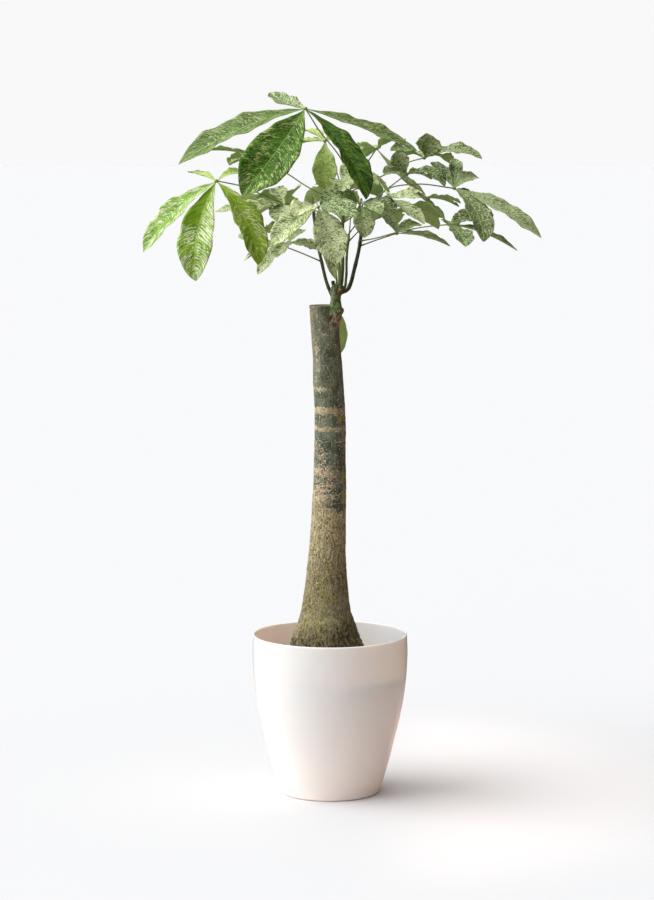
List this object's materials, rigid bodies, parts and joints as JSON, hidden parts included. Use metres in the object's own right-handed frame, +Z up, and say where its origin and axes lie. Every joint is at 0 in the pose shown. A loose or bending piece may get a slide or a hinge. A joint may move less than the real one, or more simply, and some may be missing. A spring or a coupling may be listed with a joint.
{
  "type": "potted money tree",
  "caption": "Potted money tree with one thick straight trunk cut off flat, a side shoot with variegated palmate leaves, and a tall round pot that narrows downwards.",
  "frame": {"origin": "centre of the pot's flat base", "axes": "+Z up, +X to the right in the picture, +Y away from the camera"},
  "size_m": [0.6756, 0.4875, 1.2223],
  "materials": {
    "pot": "smooth satin white plastic",
    "soil": "loose dark potting mix of bark, peat and fibre",
    "bark": "grey-green bark with tan rings and patches, olive at the foot",
    "stem": "smooth green stems, brown where they leave the neck",
    "leaf_green": "deep green leaves splashed with cream",
    "leaf_pale": "pale cream leaves speckled with grey-green"
  },
  "bodies": {
    "root": {"pot": "pot", "soil": "soil", "trunk": "bark", "shoot": "stem", "leaf_top": "leaf_green", "leaf_left": "leaf_green", "leaf_upper_middle": "leaf_pale", "leaf_right_top": "leaf_pale", "leaf_right_inner": "leaf_pale", "leaf_back_left": "leaf_pale", "leaf_back_right": "leaf_pale", "leaf_right": "leaf_pale", "leaf_right_low": "leaf_pale", "leaf_right_small": "leaf_pale", "leaf_right_back": "leaf_pale", "leaf_front": "leaf_pale", "leaf_left_inner": "leaf_pale", "leaf_left_low": "leaf_pale", "leaf_left_back": "leaf_pale", "leaf_front_right": "leaf_pale", "leaf_middle": "leaf_pale", "leaf_right_front": "leaf_pale", "leaf_behind_trunk": "leaf_pale", "leaf_back": "leaf_pale", "leaf_back_far_left": "leaf_pale", "leaf_back_low": "leaf_pale"}
  },
  "joints": []
}
